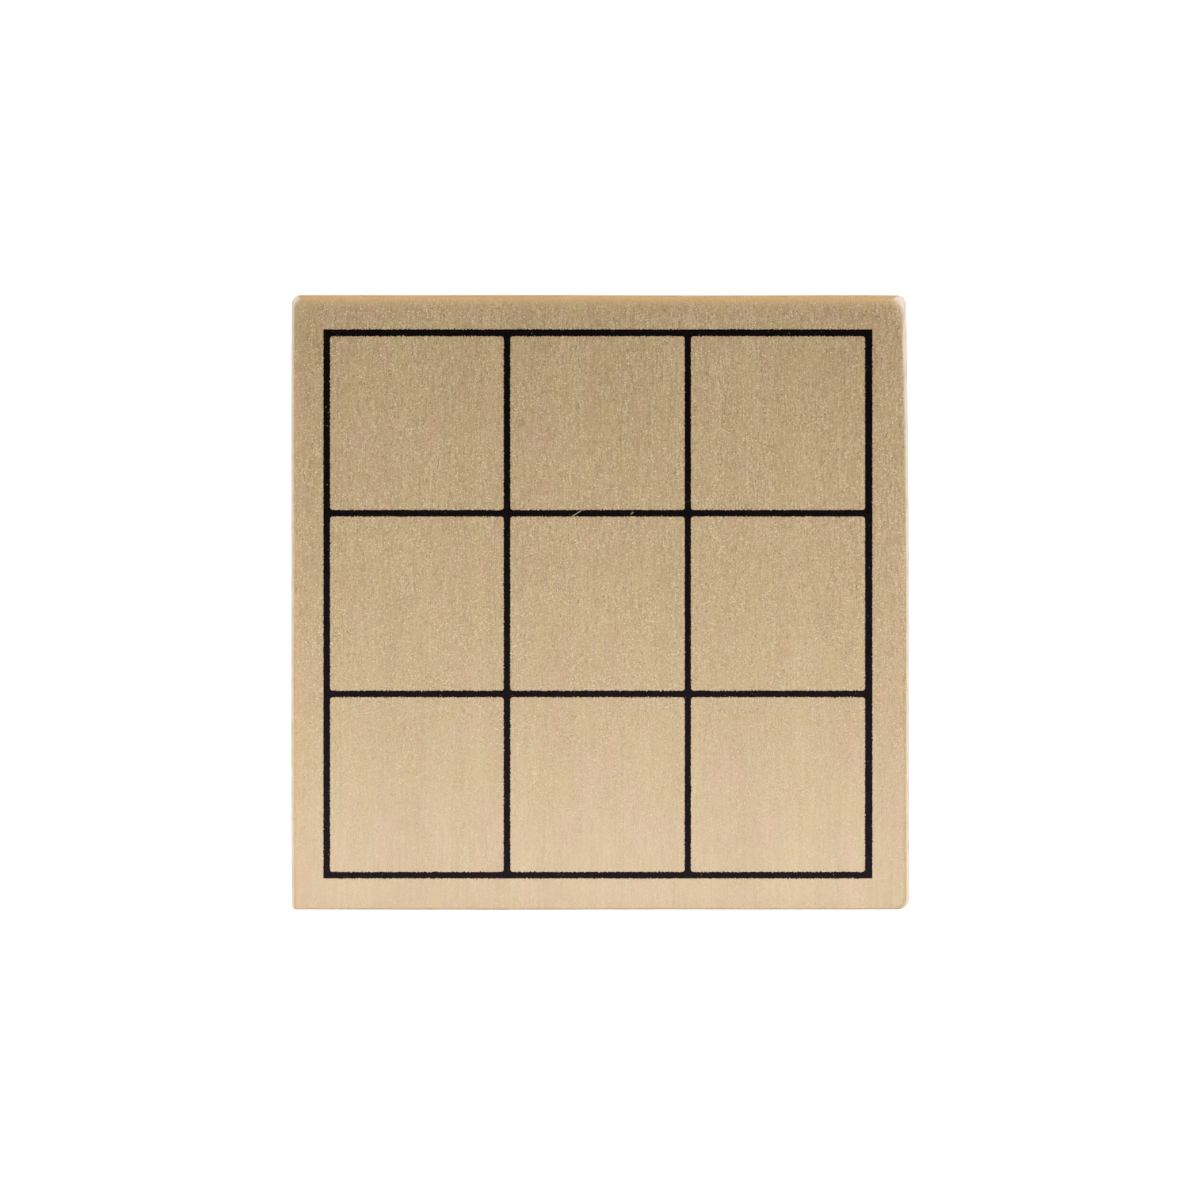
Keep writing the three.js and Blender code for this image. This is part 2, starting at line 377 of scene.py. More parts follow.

# %% [markdown]
# The eased upper edges, which a maker calls arrises, are painted pale as a highlight. The normal
# tells where they are: on an arris it points up, but not straight up. Every wooden piece gets a
# material of its own, because its pattern is centred on the piece and turned with it.

# %% Bare basswood
# The pale colour below is a painted highlight on the eased edges.
PAINTED_ARRIS_HIGHLIGHT = colour(235, 219, 201)
ARRIS_TO_SIDE = (0.0, 0.2)
ARRIS_TO_FACE = (0.84, 0.985)
WOOD_ROUGHNESS = 0.4
WOOD_SPECULAR_LEVEL = 0.5
END_GRAIN_STRENGTH = 0.8
PIECE_NAP = 0.6
PIECE_ARRIS_HIGHLIGHT = 0.35


def arris_share(x):
    """1 on an eased upper edge, 0 on faces and upright sides, from the normal's X."""
    up = x.other("Z")
    return (1 - x.finish.step(up, *ARRIS_TO_FACE)) * x.finish.step(up, *ARRIS_TO_SIDE)


def solid_wood(finish, place, turn, relief, face, arris_highlight):
    """A basswood surface from the colour of its face, to which end grain and a painted highlight on
    the arrises are added.
    """
    cut_across = end_grain_share(finish, turn) * END_GRAIN_STRENGTH
    cut = finish.mix(cut_across, face, end_grain(finish, place))
    base = finish.mix(arris_highlight, cut, PAINTED_ARRIS_HIGHLIGHT)
    return coat_with(finish, base, relief, WOOD_ROUGHNESS, WOOD_SPECULAR_LEVEL)


def bare_wood(name, centre, turn):
    """A basswood finish centred on a piece, with its grain turned from Y about Z."""
    finish = Finish(bpy.data.materials.new(name))
    place = grain_place(finish, centre, turn)
    normal_x = finish.node("SeparateXYZ", None, {"Vector": finish.normal()}, "X")
    relief = fine_relief(finish, place, PIECE_NAP)
    face = face_grain(finish, place, relief, PIECE_NAP)
    # The arrises are painted pale as a highlight.
    arris_highlight = arris_share(normal_x) * PIECE_ARRIS_HIGHLIGHT
    return solid_wood(finish, place, turn, relief, face, arris_highlight)

# %% [markdown]
# Three-ply panels are thin veneers of the same wood, glued crosswise. Their faces look like the
# solid wood, and the edges show the middle ply as a darker stripe between two hairlines of glue.

# %% Three-ply panel
CORE_PLY = colour(176, 139, 94)
GLUE_LINE = colour(120, 90, 60)
CORE_HALF_MM = 0.6
CORE_BLUR_MM = 0.04
CORE_WANDER_MM = 0.16
CORE_GRAIN = (4.0, 4.0, 1.0)
GLUE_STEP_MM = (0.03, 0.08)
CORE_STRENGTH = 0.8
GLUE_STRENGTH = 0.7
PANEL_END_STRENGTH = 0.7


def three_ply(name, centre, turn):
    """A plywood finish for a panel whose mid-plane passes through the centre."""
    finish = Finish(bpy.data.materials.new(name))
    place = grain_place(finish, centre, turn)
    relief = fine_relief(finish, place, PIECE_NAP)
    depth = abs(finish.node("SeparateXYZ", None, {"Vector": place}, "Z"))
    wandering = finish.noise(place, CORE_GRAIN) * CORE_WANDER_MM - CORE_WANDER_MM / 2
    inside = depth + wandering
    core = 1 - finish.step(inside, CORE_HALF_MM - CORE_BLUR_MM, CORE_HALF_MM + CORE_BLUR_MM)
    glue = 1 - finish.step(abs(inside - CORE_HALF_MM), *GLUE_STEP_MM)
    face = face_grain(finish, place, relief, PIECE_NAP)
    veneer = finish.mix(end_grain_share(finish, turn) * PANEL_END_STRENGTH, face, WOOD_END)
    cored = finish.mix(core * CORE_STRENGTH, veneer, CORE_PLY)
    base = finish.mix(glue * GLUE_STRENGTH, cored, GLUE_LINE)
    return coat_with(finish, base, relief, WOOD_ROUGHNESS, WOOD_SPECULAR_LEVEL)

# %% [markdown]
# The grid is one pass of black ink, which has soaked into the fibres and dried matte: it hardly
# mirrors anything, so its specular level is low. Here and there it is worn to a dark grey, towards
# the front the same grey is painted on as a sheen, and a few fibres have taken no ink.

# %% Printing ink
INK_BLACK = colour(8, 4, 4)
INK_WORN_AND_SHEEN = colour(33, 24, 28)
INK_ROUGHNESS = 0.6
INK_SPECULAR_LEVEL = 0.03
INK_NAP = 0.6
NICK_GRAIN = (0.2, 0.3, 0.3)
NICK_STEP = (0.82, 0.88)
WORN_GRAIN = (0.6, 0.9, 0.6)
WORN_UNEVENLY = 1.2
# Towards the front the ink is painted greyer as a sheen.
SHEEN_AT_FRONT = 0.9
SHEEN_STEP_MM = (-45.0, 35.0)  # from the front to the back
SCRATCH_STRENGTH = 0.6
SCRATCHES = (  # x and y in millimetres, degrees, length and half width in millimetres
    (-3.8, 14.35, 33, 2.2, 0.11),
    (5.2, 14.4, 40, 0.6, 0.11),
)


def scratch(finish, place, x, y, degrees, length, half_width):
    """1 on a straight scratch in the plane of the print, in millimetres about its middle."""
    inputs = {"Vector": place, "Location": (x, y, 0), "Rotation": (0, 0, math.radians(degrees))}
    turned = finish.node("Mapping", {"vector_type": "TEXTURE"}, inputs)
    along = finish.node("SeparateXYZ", None, {"Vector": turned}, "X")
    beside = 1 - finish.step(abs(along.other("Y")), half_width * 0.5, half_width)
    return beside * (1 - finish.step(abs(along), length * 0.4, length * 0.5))


def printing_ink(name):
    """Matte black ink with the fibres' relief, worn places, a painted sheen towards the front and
    bare nicks.
    """
    finish = Finish(bpy.data.materials.new(name))
    place = grain_place(finish, (0, 0, 0), 0.0)
    relief = fine_relief(finish, place, INK_NAP)
    y = finish.node("SeparateXYZ", None, {"Vector": place}, "Y")
    patches = finish.noise(place, WORN_GRAIN) * WORN_UNEVENLY - WORN_UNEVENLY / 2
    # The worn grey is laid in patches and, as a painted sheen, towards the front.
    worn = patches + (1 - finish.step(y, *SHEEN_STEP_MM)) * SHEEN_AT_FRONT
    nicks = finish.step(finish.noise(place, NICK_GRAIN, 0.0), *NICK_STEP)
    inked = finish.mix(worn, INK_BLACK, INK_WORN_AND_SHEEN)
    base = finish.mix(nicks, inked, WOOD_MIDDLE)
    for line in SCRATCHES:
        base = finish.mix(scratch(finish, place, *line) * SCRATCH_STRENGTH, base, WOOD_LIGHT)
    return coat_with(finish, base, relief, INK_ROUGHNESS, INK_SPECULAR_LEVEL)

# %% [markdown]
# Every new piece is a surface worked out as whole arrays and turned into a mesh object whose place
# is in its mesh. It is shaded smooth, except where its faces meet at more than a set angle. Then
# it takes the place of a node of the frame and moves with that node's body.

# %% Pieces in the place of nodes
SHARP_DEGREES = 35.0


def piece_from(name, points, faces, material):
    """A mesh object at the origin from an array of points and a list of faces."""
    mesh = bpy.data.meshes.new(name)
    mesh.from_pydata(points.tolist(), [], faces)
    mesh.materials.append(material)
    mesh.shade_smooth()
    mesh.set_sharp_from_angle(angle=math.radians(SHARP_DEGREES))
    piece = bpy.data.objects.new(name, mesh)
    scene.collection.objects.link(piece)
    return piece


def stands_for(piece, node, body):
    """Shows the piece in a CAD node's place, moving with its body."""
    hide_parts(node)
    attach(piece, body)

# %% [markdown]
# Most pieces are rings of points, one after the other, joined by quads. The rings of a solid piece
# close to a middle point at both ends, and those of a ring-shaped piece close on themselves.

# %% Faces between rings of points
def quads(rows, columns, closed=False):
    """Corner indices of the quads between closed rings of points, numbered ring by ring."""
    row, column = np.meshgrid(np.arange(rows if closed else rows - 1), np.arange(columns))
    row, column = row.ravel(), column.ravel()
    above, after = (row + 1) % rows, (column + 1) % columns
    corners = (row, column), (row, after), (above, after), (above, column)
    return np.stack([r * columns + c for r, c in corners], axis=1).tolist()


def capped_stack(rings):
    """Points and faces of a stack of rings, with a fan to a middle point at both ends."""
    rows, columns, _ = rings.shape
    points = np.concatenate([rings.reshape(-1, 3), rings[[0, -1]].mean(axis=1)])
    column = np.arange(columns)
    after = (column + 1) % columns
    low_pole, high_pole = np.full(columns, rows * columns), np.full(columns, rows * columns + 1)
    top_row = (rows - 1) * columns
    low_fan = np.stack([low_pole, after, column], axis=1)
    high_fan = np.stack([high_pole, top_row + column, top_row + after], axis=1)
    return points, quads(rows, columns) + low_fan.tolist() + high_fan.tolist()

# %% [markdown]
# A sanded slab is a flat outline carried up a profile: out from the middle, round the lower edge,
# up the side, round the upper edge and back to the middle. The upper face may be given an outline
# of its own, so that its edge is wider on one side than on another, as sanding leaves it.

# %% Sanded slabs
EASE_STEPS = 7
FAN_SHARES = (0.35, 0.7, 0.93)
SIDE_GUARD = 0.05 * MM


def sanded_slab(outline, normals, low, high, low_ease, high_ease, upper_face=None):
    """Rings of a slab with eased edges, from an outline and its outward normals.

    At an edge, for t through a quarter turn, a ring is the outline moved (1 - sin t) of the way to
    the face's outline, and it lies drop * (1 - cos t) inside the face's height. Without an outline
    for the upper face, both faces are drawn in by the ease, which is then the drop too. The flat
    face is its outline shrunk to its middle. One more ring close under the ease keeps the upright
    side from being shaded as if it curved.
    """
    t = np.linspace(0, math.pi / 2, EASE_STEPS + 1)[:, None]
    shares = np.array(FAN_SHARES)[:, None, None]
    faces = outline - normals * low_ease, outline - normals * np.mean(high_ease)
    if upper_face is not None:
        faces = faces[0], upper_face
    halves = []
    for face, drop, height, way in zip(faces, (low_ease, high_ease), (low, high), (1, -1)):
        flat = outline + (face - outline) * (1 - np.sin(t))[..., None]
        level = height + way * np.ones(len(outline)) * drop * (1 - np.cos(t))
        ring = np.concatenate([flat, level[..., None]], axis=2)
        middle = ring[0].mean(axis=0)
        guard = ring[-1:] + np.array([0, 0, way * SIDE_GUARD])
        halves.append(np.concatenate([middle + (ring[:1] - middle) * shares, ring, guard])[::way])
    return np.concatenate(halves)

# %% [markdown]
# The board, the liner and the base are rounded rectangles, and so is a ring's section. Each corner
# can have a radius of its own, because a sander takes more off one than off another.

# %% Rounded rectangles
CORNER_STEPS = 12
SIDE_STEPS = 30


def rounded_rectangle(low, high, radii, side_steps=SIDE_STEPS):
    """Points and outward normals of a rectangle from low to high whose corners are arcs.

    A corner is centre + radius * (cos a, sin a) for a quarter turn of a, starting with the right
    back corner and going anticlockwise, and straight runs join the arcs. A radius may be a pair,
    one along X and one along Y.
    """
    signs = np.array([(1, 1), (-1, 1), (-1, -1), (1, -1)])
    radii = np.ones((4, 2)) * (radii if np.ndim(radii) != 1 else np.array(radii)[:, None])
    centres = (low + high) / 2 + signs * ((high - low) / 2 - radii)
    turns = (np.arange(4)[:, None] + np.linspace(0, 1, CORNER_STEPS + 1)) * math.pi / 2
    directions = np.stack([np.cos(turns), np.sin(turns)], axis=2)
    arcs = centres[:, None] + radii[:, None] * directions
    shares = np.linspace(0, 1, side_steps + 1)[1:-1, None]
    sides = arcs[:, -1:] + (np.roll(arcs, -1, axis=0)[:, :1] - arcs[:, -1:]) * shares
    side_normals = np.repeat(directions[:, -1:], side_steps - 1, axis=1)
    outline = np.concatenate([arcs, sides], axis=1).reshape(-1, 2)
    return outline, np.concatenate([directions, side_normals], axis=1).reshape(-1, 2)

# %% [markdown]
# A board's back and left edges are given a warmer, lighter colour that fades out inwards, and its
# arrises carry a painted highlight, brightest where they run beside the grain. Towards the front
# the face is painted a little paler as a sheen. Its nap is higher at the back and lower towards the
# front, in relief and in colour, so the grain, pores and crumbs are painted with less contrast
# where the sheen washes them out. Both follow the place along Y.

# %% The board's finish
WOOD_WARM = colour(222, 182, 126)
WARM_REACH_MM = 2.8
WARM_BACK = 0.9
WARM_LEFT = 0.35
# A paler colour, painted towards the front as a sheen.
PAINTED_FRONT_SHEEN = colour(246, 232, 202)
FRONT_SHEEN_SHARE = 0.065
# The lower nap at the front also paints the grain, pores and crumbs with less contrast, where sheen
# washes them out.
FRONT_NAP = 0.34
BACK_NAP = 1.08
BACK_FROM_MM = 5.0
SIDE_NAP = 0.5
SIDE_TO_FACE = (0.2, 0.8)
# How strong the arrises' painted highlight is, and how unevenly it lies.
BOARD_ARRIS_HIGHLIGHT = 0.95
UNEVEN_ARRIS_HIGHLIGHT = 0.3
HIGHLIGHT_PATCH_GRAIN = (0.6, 3.0, 0.6)
HIGHLIGHT_PATCH_STEP = (0.45, 0.7)
GRAIN_SIDES = 5.0


def warm_edge_share(finish, place, half_x, half_y):
    """How much warmer colour is laid, fading out within a reach of a board's back and left edges.
    """
    x = finish.node("SeparateXYZ", None, {"Vector": place}, "X")
    back = (1 - finish.step(half_y - x.other("Y"), 0.0, WARM_REACH_MM)) * WARM_BACK
    left = (1 - finish.step(half_x + x, 0.0, WARM_REACH_MM)) * WARM_LEFT
    return back.math("MAXIMUM", back, left)


def beside_grain_share(x):
    """1 on what looks to the left or right of grain that runs along Y, 0 on end grain."""
    return x.finish.step(abs(x) * GRAIN_SIDES - abs(x.other("Y")), 0.0, 1.0)


def board_finish(name, half_x, half_y):
    """A basswood finish for a board of these half widths in millimetres, about its middle."""
    finish = Finish(bpy.data.materials.new(name))
    place = grain_place(finish, (0, 0, 0), 0.0)
    y = finish.node("SeparateXYZ", None, {"Vector": place}, "Y")
    normal_x = finish.node("SeparateXYZ", None, {"Vector": finish.normal()}, "X")
    front = 1 - finish.step(y, -half_y, BACK_FROM_MM)
    face_nap = BACK_NAP - front * (BACK_NAP - FRONT_NAP)
    upward = finish.step(normal_x.other("Z"), *SIDE_TO_FACE)
    nap = SIDE_NAP + upward * (face_nap - SIDE_NAP)
    relief = fine_relief(finish, place, nap)
    face = face_grain(finish, place, relief, nap)
    # The front is painted paler as a sheen.
    front_sheened = finish.mix(front * FRONT_SHEEN_SHARE, face, PAINTED_FRONT_SHEEN)
    warmed = finish.mix(warm_edge_share(finish, place, half_x, half_y), front_sheened, WOOD_WARM)
    # A painted highlight on the arrises, weaker in patches.
    highlight_patches = finish.step(finish.noise(place, HIGHLIGHT_PATCH_GRAIN, 1.0), *HIGHLIGHT_PATCH_STEP)
    highlight_strength = BOARD_ARRIS_HIGHLIGHT - UNEVEN_ARRIS_HIGHLIGHT * highlight_patches
    arris_highlight = arris_share(normal_x) * beside_grain_share(normal_x) * highlight_strength
    return solid_wood(finish, place, 0.0, relief, warmed, arris_highlight)

# %% [markdown]
# The board's outline isn't quite true: its right side leans in by half a millimetre towards the
# back, and there the sander has dubbed the corner over. The front edge is the crispest, and the
# back edge slopes gently. The outline is changed by adding smooth functions of its coordinates,
# which run from 0 in the middle to 1 at an edge: a high power of one keeps a change close to it.

# %% The lid's board
BOARD_LEFT_FRONT = np.array([-50.22, -50.0]) * MM
BOARD_RIGHT_BACK = np.array([50.34, 49.92]) * MM
BOARD_RADII = (1.3 * MM, 1.5 * MM, 0.8 * MM, 1.9 * MM)  # right back, then anticlockwise
FACE_LEFT_FRONT = BOARD_LEFT_FRONT + np.array([0.9, 0.28]) * MM
FACE_RIGHT_BACK = BOARD_RIGHT_BACK - np.array([1.1, 2.0]) * MM
FACE_RADII = np.array([(5.2, 9.5), (2.8, 2.8), (0.8, 0.8), (2.2, 2.2)]) * MM
EDGE_DROPS = np.array([0.9, 0.9, 0.7, 0.28]) * MM  # on the right, back, left and front
DUBBED_DROP = 1.2 * MM  # added at the right back corner
WORN_DROP = 0.5 * MM  # added at the left back corner
UNDER_EASE = 0.4 * MM
LEAN = 0.5 * MM
WAVE = 0.04 * MM

straight, normals = rounded_rectangle(BOARD_LEFT_FRONT, BOARD_RIGHT_BACK, BOARD_RADII)
x, y = (straight / board_high[:2]).T
right, left, back = np.clip([x, -x, y], 0, 1)
around = np.linspace(0, 2 * math.pi, len(straight), endpoint=False)
slow_wave, quick_wave = np.sin(5 * around + 0.7), np.sin(11 * around + 2.1)
wave = WAVE * (0.6 * slow_wave + 0.4 * quick_wave - 1)
untrue = normals * wave[:, None]
untrue[:, 0] -= LEAN * right * np.clip(1.1 * back - 0.1, 0, 1) ** 1.5

looks = np.clip(np.concatenate([normals, -normals], axis=1), 0, 1) ** 2
dubbed, worn = DUBBED_DROP * right**14 * back**5, WORN_DROP * left**20 * back**12
drop = looks @ EDGE_DROPS + dubbed + worn
upper_face, _ = rounded_rectangle(FACE_LEFT_FRONT, FACE_RIGHT_BACK, FACE_RADII)
shape = straight + untrue, normals, board_low[2], BOARD_TOP, UNDER_EASE, drop, upper_face + untrue
stack = sanded_slab(*shape)
board_wood = board_finish("board_wood", *(board_high[:2] / MM).tolist())
board = piece_from("board", *capped_stack(stack), board_wood)
stands_for(board, "lid_board", "lid")
print("board points", len(board.data.vertices))

# %% [markdown]
# The printed grid could be a pattern in the board's colour, but a real film of ink keeps its crisp
# edge from any distance. Its edges wander, because ink creeps along the fibres, and where two
# lines meet, the ink fills the inner corner with an arc.

# %% Edges of ink
CORNER_FILL = 0.45 * MM
TOOTH_SHAPE = (-0.35, 0.3, 1.0, 0.3, -0.35)
DRIFT_STATIONS = 41
DRIFT_SHARE = 0.1
ink_random = np.random.default_rng(31)


def wander(count, tooth):
    """How far an edge strays at each station: teeth four stations apart on a slower drift."""
    rough = ink_random.normal(size=count + len(TOOTH_SHAPE) - 1)
    teeth = np.convolve(rough, TOOTH_SHAPE, "valid")
    slow = ink_random.normal(size=count + DRIFT_STATIONS - 1)
    drift = np.convolve(slow, np.hanning(DRIFT_STATIONS), "valid")
    return tooth * (teeth / teeth.std() + DRIFT_SHARE * drift / drift.std())


def corner_fill(distance):
    """How far ink fills a corner at a distance d: r - sqrt(r^2 - (r - d)^2), 0 at the crossing."""
    inside = np.clip(CORNER_FILL - distance, 0, CORNER_FILL)
    return np.where(distance > 0, CORNER_FILL - np.sqrt(CORNER_FILL**2 - inside**2), 0.0)

# %% [markdown]
# Each stretch of line between two crossings is a ribbon: three rows of points, with a station every
# tenth of a millimetre, and closer ones where the corners are filled.

# %% Ribbons of ink
FILM = 0.02 * MM
STATION = 0.1 * MM
FILL_STATIONS = 6
CALM_STATIONS = 4


def ribbon(start, end, middle, half, tooth, filled, upright):
    """Rows of three points along a line of ink: lower edge, middle and upper edge.

    An edge lies half + fill + wander from the middle, and it is calm near a corner. filled says
    for each edge whether other lines meet the ribbon's ends there.
    """
    arc_start = CORNER_FILL * (1 - 1 / math.sqrt(2))
    corner = np.concatenate([[0], np.linspace(arc_start, CORNER_FILL, FILL_STATIONS)])
    length = end - start
    count = int((length - 2 * CORNER_FILL) / STATION)
    stretch = np.linspace(CORNER_FILL, length - CORNER_FILL, count)[1:-1]
    along = np.concatenate([corner, stretch, length - corner[::-1]])
    distance = np.minimum(along, length - along)
    calm = np.clip((distance - CORNER_FILL) / (CALM_STATIONS * STATION), 0, 1)
    fills = [meets * corner_fill(distance) for meets in filled]
    lower, upper = [half + fill + calm * wander(len(along), tooth) for fill in fills]
    across = middle + np.stack([-lower, 0 * lower, upper], axis=1)
    lengthways = np.repeat(start + along[:, None], 3, axis=1)
    pair = (across, lengthways) if upright else (lengthways, across)
    return np.dstack([*pair, np.full(across.shape, BOARD_TOP + FILM)])

# %% [markdown]
# The grid has sixteen crossings and twenty-four ribbons. Its lines aren't all equally wide, and
# they stray a little from their places, as on the photographed print.

# %% Crossings and ribbons of the grid
GRID_LINE = 1.0 * MM
WIDTHS_UP = np.array([1.09, 1.07, 1.03, 1.20]) * MM  # lines along Y, from left to right
WIDTHS_ACROSS = np.array([1.07, 1.07, 1.08, 1.13]) * MM  # lines along X, from front to back
STRAY_UP = np.array([0.04, -0.03, -0.01, 0.02]) * MM
STRAY_ACROSS = np.array([-0.15, -0.06, -0.06, -0.10]) * MM
TOOTH_UP = 0.045 * MM
TOOTH_ACROSS = 0.055 * MM


def crossing(x, y, width_x, width_y):
    """The three by three points where two lines cross."""
    shares = np.array([-0.5, 0, 0.5])
    grid_x, grid_y = np.meshgrid(x + width_x * shares, y + width_y * shares)
    return np.dstack([grid_x, grid_y, np.full((3, 3), BOARD_TOP + FILM)])


edge_line = np.array([GRID_LINE, GRID_LINE]) / 2
lines_x, lines_y = np.linspace(grid_low[:2] + edge_line, grid_high[:2] - edge_line, 4).T
lines_x, lines_y = lines_x + STRAY_UP, lines_y + STRAY_ACROSS
blocks = [
    (crossing(x, y, width_x, width_y), True)
    for x, width_x in zip(lines_x, WIDTHS_UP)
    for y, width_y in zip(lines_y, WIDTHS_ACROSS)
]
for upright, own, widths, other, crossed, tooth in (
    (True, lines_x, WIDTHS_UP, lines_y, WIDTHS_ACROSS, TOOTH_UP),
    (False, lines_y, WIDTHS_ACROSS, lines_x, WIDTHS_UP, TOOTH_ACROSS),
):
    starts, ends = other + crossed / 2, other - crossed / 2
    for line in range(4):
        filled = (line > 0, line < 3)
        for stretch in range(3):
            span = starts[stretch], ends[stretch + 1], own[line], widths[line] / 2
            blocks.append((ribbon(*span, tooth, filled, upright), upright))
print("blocks of ink", len(blocks))

# %% [markdown]
# The blocks are laid as one sheet, joined where they meet, and given their thickness by a Solidify
# modifier. Half of it stands above the wood, which is what a coat of ink adds.

# %% The printed grid
SAME_POINT = MM / 1000


def sheet_faces(block, upward, first):
    """Quads of an open block of points, numbered from first, wound so that they face up."""
    rows, columns, _ = block.shape
    row, column = np.meshgrid(np.arange(rows - 1), np.arange(columns - 1))
    corner = row.ravel() * columns + column.ravel() + first
    quad = [corner, corner + 1, corner + columns + 1, corner + columns]
    return np.stack(quad if upward else quad[::-1], axis=1)


points, faces = [], []
for block, upward in blocks:
    faces.append(sheet_faces(block, upward, sum(map(len, points))))
    points.append(block.reshape(-1, 3))
sheet = np.concatenate(points), np.concatenate(faces).tolist()
film = piece_from("grid_film", *sheet, printing_ink("grid_ink"))
film.data.shade_flat()
joined = bmesh.new()
joined.from_mesh(film.data)
bmesh.ops.remove_doubles(joined, verts=joined.verts, dist=SAME_POINT)
joined.to_mesh(film.data)
joined.free()
thickness = film.modifiers.new("thickness", "SOLIDIFY")
thickness.thickness = 2 * FILM
stands_for(film, "printed_grid", "lid")
print("film points", len(film.data.vertices))

# %% [markdown]
# Liner and base are plain panels with barely broken edges. The liner's lower edge is eased more,
# because it has to find its way between the walls when the lid is put on.

# %% Liner and base
ALONG_X = math.pi / 2
ALONG_Y = 0.0
PANELS = (  # name, node, body, corner radius, lower and upper ease, turn of the grain
    ("liner", "lid_liner", "lid", 1.2 * MM, 0.8 * MM, 0.05 * MM, ALONG_X),
    ("base", "base_panel", "tray", 0.3 * MM, 0.1 * MM, 0.1 * MM, ALONG_Y),
)

for name, node, body, radius, low_ease, high_ease, turn in PANELS:
    low, high = box_of(node)
    outline, normals = rounded_rectangle(low[:2], high[:2], radius)
    stack = sanded_slab(outline, normals, low[2], high[2], low_ease, high_ease)
    panel_finish = three_ply(name + "_ply", (low + high) / 2, turn)
    stands_for(piece_from(name, *capped_stack(stack), panel_finish), node, body)
    print(name, np.round((high - low) / MM, 2), "mm")

# %% [markdown]
# The walls keep their CAD shape, with its fingers, notches and rebate, so each is a copy of its
# node's mesh. A sawn and sanded edge is never quite sharp, and a narrow bevel lets it catch the
# light. The normals are weighted by the faces' areas, or a wide flat face would be shaded as if it
# curved towards its narrow eased edge.

# %% Softened copies of nodes
SOFTENED_EDGE = 0.12 * MM
SOFTENED_FROM_DEGREES = 40
WALL_SHARP_DEGREES = 25
FLAT_WITHIN_RADIANS = 0.01


def softened_copy(name, node, material):
    """A CAD node's mesh with doubles merged, flat triangles joined and its edges bevelled."""
    copied = bmesh.new()
    copied.from_mesh(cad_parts[node].data)
    bmesh.ops.remove_doubles(copied, verts=copied.verts, dist=SAME_POINT)
    every = {"verts": copied.verts, "edges": copied.edges}
    bmesh.ops.dissolve_limit(copied, angle_limit=FLAT_WITHIN_RADIANS, **every)
    mesh = bpy.data.meshes.new(name)
    copied.to_mesh(mesh)
    copied.free()
    mesh.materials.clear()
    mesh.materials.append(material)
    mesh.shade_smooth()
    mesh.set_sharp_from_angle(angle=math.radians(WALL_SHARP_DEGREES))
    piece = bpy.data.objects.new(name, mesh)
    scene.collection.objects.link(piece)
    bevel = piece.modifiers.new("softened", "BEVEL")
    bevel.width = SOFTENED_EDGE
    bevel.segments = 2
    bevel.limit_method = "ANGLE"
    bevel.angle_limit = math.radians(SOFTENED_FROM_DEGREES)
    shading = piece.modifiers.new("flat_faces", "WEIGHTED_NORMAL")
    shading.keep_sharp = True
    return piece

# %% [markdown]
# The grain of a wall runs along its length, so its fingers show end grain at the corners. Each
# wall's pattern is shifted up or down by the wall's own place, so no two walls share a figure.

# %% Walls
WALLS = (
    ("front_wall", ALONG_X),
    ("right_wall", ALONG_Y),
    ("back_wall", ALONG_X),
    ("left_wall", ALONG_Y),
)

for node, turn in WALLS:
    low, high = box_of(node)
    middle = (low + high) / 2
    wall_wood = bare_wood(node + "_wood", middle + (0, 0, middle[0] + middle[1] / 2), turn)
    wall = softened_copy(node + "_piece", node, wall_wood)
    stands_for(wall, node, "tray")
    print(node, "faces", len(wall.data.polygons))

# %% [markdown]
# A cross is a plus with round arm ends and filleted inner corners. One arm's outline is an end arc
# and a fillet, and quarter turns of it make the whole. Turning points is a product of complex
# numbers, so the outline is worked out with those.

# %% The outline of a cross
STROKE_HALF = 3.0 * MM
FILLET = 0.8 * MM
ARM_STEPS = 25
FILLET_STEPS = 9


def cross_outline(reach, centre, turn):
    """Points and outward normals of a cross whose arms reach so far from its centre.

    An arm along X ends in the half circle (reach - w + w cos a, w sin a), and its inner corner is
    the quarter circle of the fillet about (w + f, w + f), whose normals point at its middle.
    """
    a = np.linspace(-0.5, 0.5, ARM_STEPS) * math.pi
    b = np.linspace(-0.5, -1.0, FILLET_STEPS) * math.pi
    end = reach - STROKE_HALF + STROKE_HALF * np.exp(1j * a)
    fillet = (STROKE_HALF + FILLET) * (1 + 1j) + FILLET * np.exp(1j * b)
    arm, arm_normals = np.append(end, fillet), np.append(np.exp(1j * a), -np.exp(1j * b))
    turns = np.exp(1j * (np.arange(4)[:, None] * math.pi / 2 + turn))
    points, normals = (arm * turns).ravel(), (arm_normals * turns).ravel()
    outline = np.stack([points.real, points.imag], axis=1) + centre
    return outline, np.stack([normals.real, normals.imag], axis=1)

# %% [markdown]
# How far a cross is turned is read from its CAD mesh: in a shape with four equal arms the mean of
# (x + iy)^4 points four times as far round.

# %% Crosses
PIECE_EASE = 0.8 * MM
CROSS_COUNT = 5


def flat_points(node):
    """The X and Y of a CAD node's points, as complex numbers about the middle of its box."""
    coordinates = np.array([vertex.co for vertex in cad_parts[node].data.vertices])
    low, high = box_of(node)
    x, y = (coordinates - (low + high) / 2)[:, :2].T
    return x + 1j * y


for number in range(1, CROSS_COUNT + 1):
    name = f"cross_{number}"
    low, high = box_of(name)
    spokes = flat_points(name)
    turn = np.angle((spokes**4).mean()) / 4
    centre = (low + high) / 2
    outline, normals = cross_outline(abs(spokes).max(), centre[:2], turn)
    stack = sanded_slab(outline, normals, low[2], high[2], PIECE_EASE, PIECE_EASE)
    wood = bare_wood(name + "_wood", centre + (0, 0, number * high[2]), turn)
    stands_for(piece_from(name + "_piece", *capped_stack(stack), wood), name, name)
    print(name, "turned", round(math.degrees(turn), 1), "degrees")

# %% [markdown]
# A ring is its rounded section, carried once round its axis, so it closes on itself both ways.
# Rings lie as they fell, and only their grain tells how they are turned.

